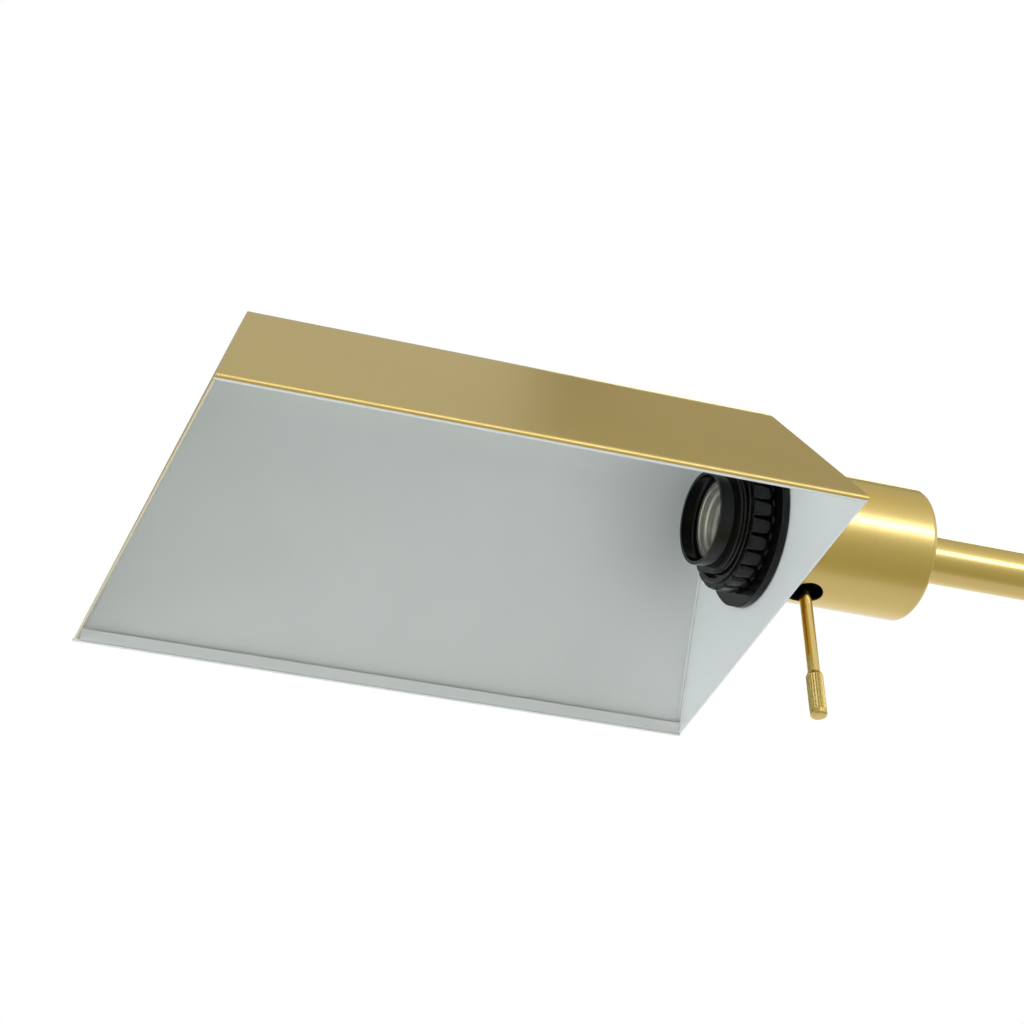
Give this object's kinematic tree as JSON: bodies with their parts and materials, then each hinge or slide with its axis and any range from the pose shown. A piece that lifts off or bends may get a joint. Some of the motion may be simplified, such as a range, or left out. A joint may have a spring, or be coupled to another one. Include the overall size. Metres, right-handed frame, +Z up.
{
  "type": "adjustable floor lamp",
  "caption": "Brass reading floor lamp with a folded hood shade on a bent arm; the stem slides and turns in its pole, the shade rolls, and a knob turns the switch.",
  "frame": {"origin": "centre of the base's underside, on the floor, on the pole's axis", "axes": "+Z up along the pole; at rest the arm and the shade point along -X and the shade opens down"},
  "size_m": [0.6242, 0.254, 1.2262],
  "materials": {
    "brushed_brass": "fine brushed and lacquered",
    "white_enamel": "satin white enamel",
    "black_phenolic": "satin moulded",
    "nickel_plate": "bright nickel plate",
    "zinc_steel": "zinc plated",
    "cast_iron": "as cast",
    "felt": "dark felt",
    "nylon": "natural nylon",
    "fibre": "red-brown vulcanised fibre"
  },
  "bodies": {
    "stand": {"base_pad": "felt", "base_weight": "cast_iron", "base_cover": "brushed_brass", "base_stud": "zinc_steel", "base_washer": "zinc_steel", "base_nut": "zinc_steel", "cord_bushing": "black_phenolic", "pole_plug": "zinc_steel", "pole_foot": "brushed_brass", "lower_pole": "brushed_brass", "pole_bush": "nylon", "clamp_collar": "brushed_brass"},
    "clamp_tip": {"clamp_pad": "nylon"},
    "clamp_screw": {"clamp_stud": "zinc_steel", "clamp_knob": "brushed_brass"},
    "glider": {"stem_glider": "nylon"},
    "stem": {"upper_stem": "brushed_brass", "arm_plug": "brushed_brass", "stop_pin": "zinc_steel", "friction_washer": "fibre"},
    "head": {"swivel_nipple": "zinc_steel", "stop_washer": "zinc_steel", "wave_washer": "zinc_steel", "swivel_nut": "zinc_steel", "socket_cup": "brushed_brass", "cup_washer": "zinc_steel", "cup_nut": "zinc_steel", "socket_body": "black_phenolic", "terminal_screws": "brushed_brass", "screw_shell": "nickel_plate", "centre_contact": "brushed_brass", "shade_ring": "black_phenolic", "shade_hood": "brushed_brass", "shade_nose_panel": "brushed_brass", "shade_socket_panel": "white_enamel"},
    "switch": {"switch_rotor": "black_phenolic", "switch_rod": "brushed_brass", "switch_knob": "brushed_brass"}
  },
  "joints": [
    {"name": "height_slide", "type": "slide", "parent": "stand", "child": "glider", "axis": [0, 0, 1], "range_m": [-0.15, 0.15]},
    {"name": "stem_swivel", "type": "hinge", "parent": "glider", "child": "stem", "pos_m": [0, 0, 0.662], "axis": [0, 0, 1], "range_deg": [-175, 175]},
    {"name": "head_roll", "type": "hinge", "parent": "stem", "child": "head", "pos_m": [-0.1911, 0, 1.18], "axis": [1, 0, 0], "range_deg": [-160, 160]},
    {"name": "switch_turn", "type": "hinge", "parent": "head", "child": "switch", "pos_m": [-0.2371, 0, 1.18], "axis": [0, 0.0872, -0.9962], "continuous": true},
    {"name": "clamp_travel", "type": "slide", "parent": "stand", "child": "clamp_tip", "axis": [1, 0, 0], "range_m": [0, 0.002]},
    {"name": "clamp_turn", "type": "hinge", "parent": "clamp_tip", "child": "clamp_screw", "pos_m": [0.0185, 0, 0.672], "axis": [1, 0, 0], "range_deg": [0, 730]}
  ],
  "couplings": [
    {"joint": "clamp_turn", "follows": "clamp_travel", "rad_per_m": 6283.2}
  ]
}
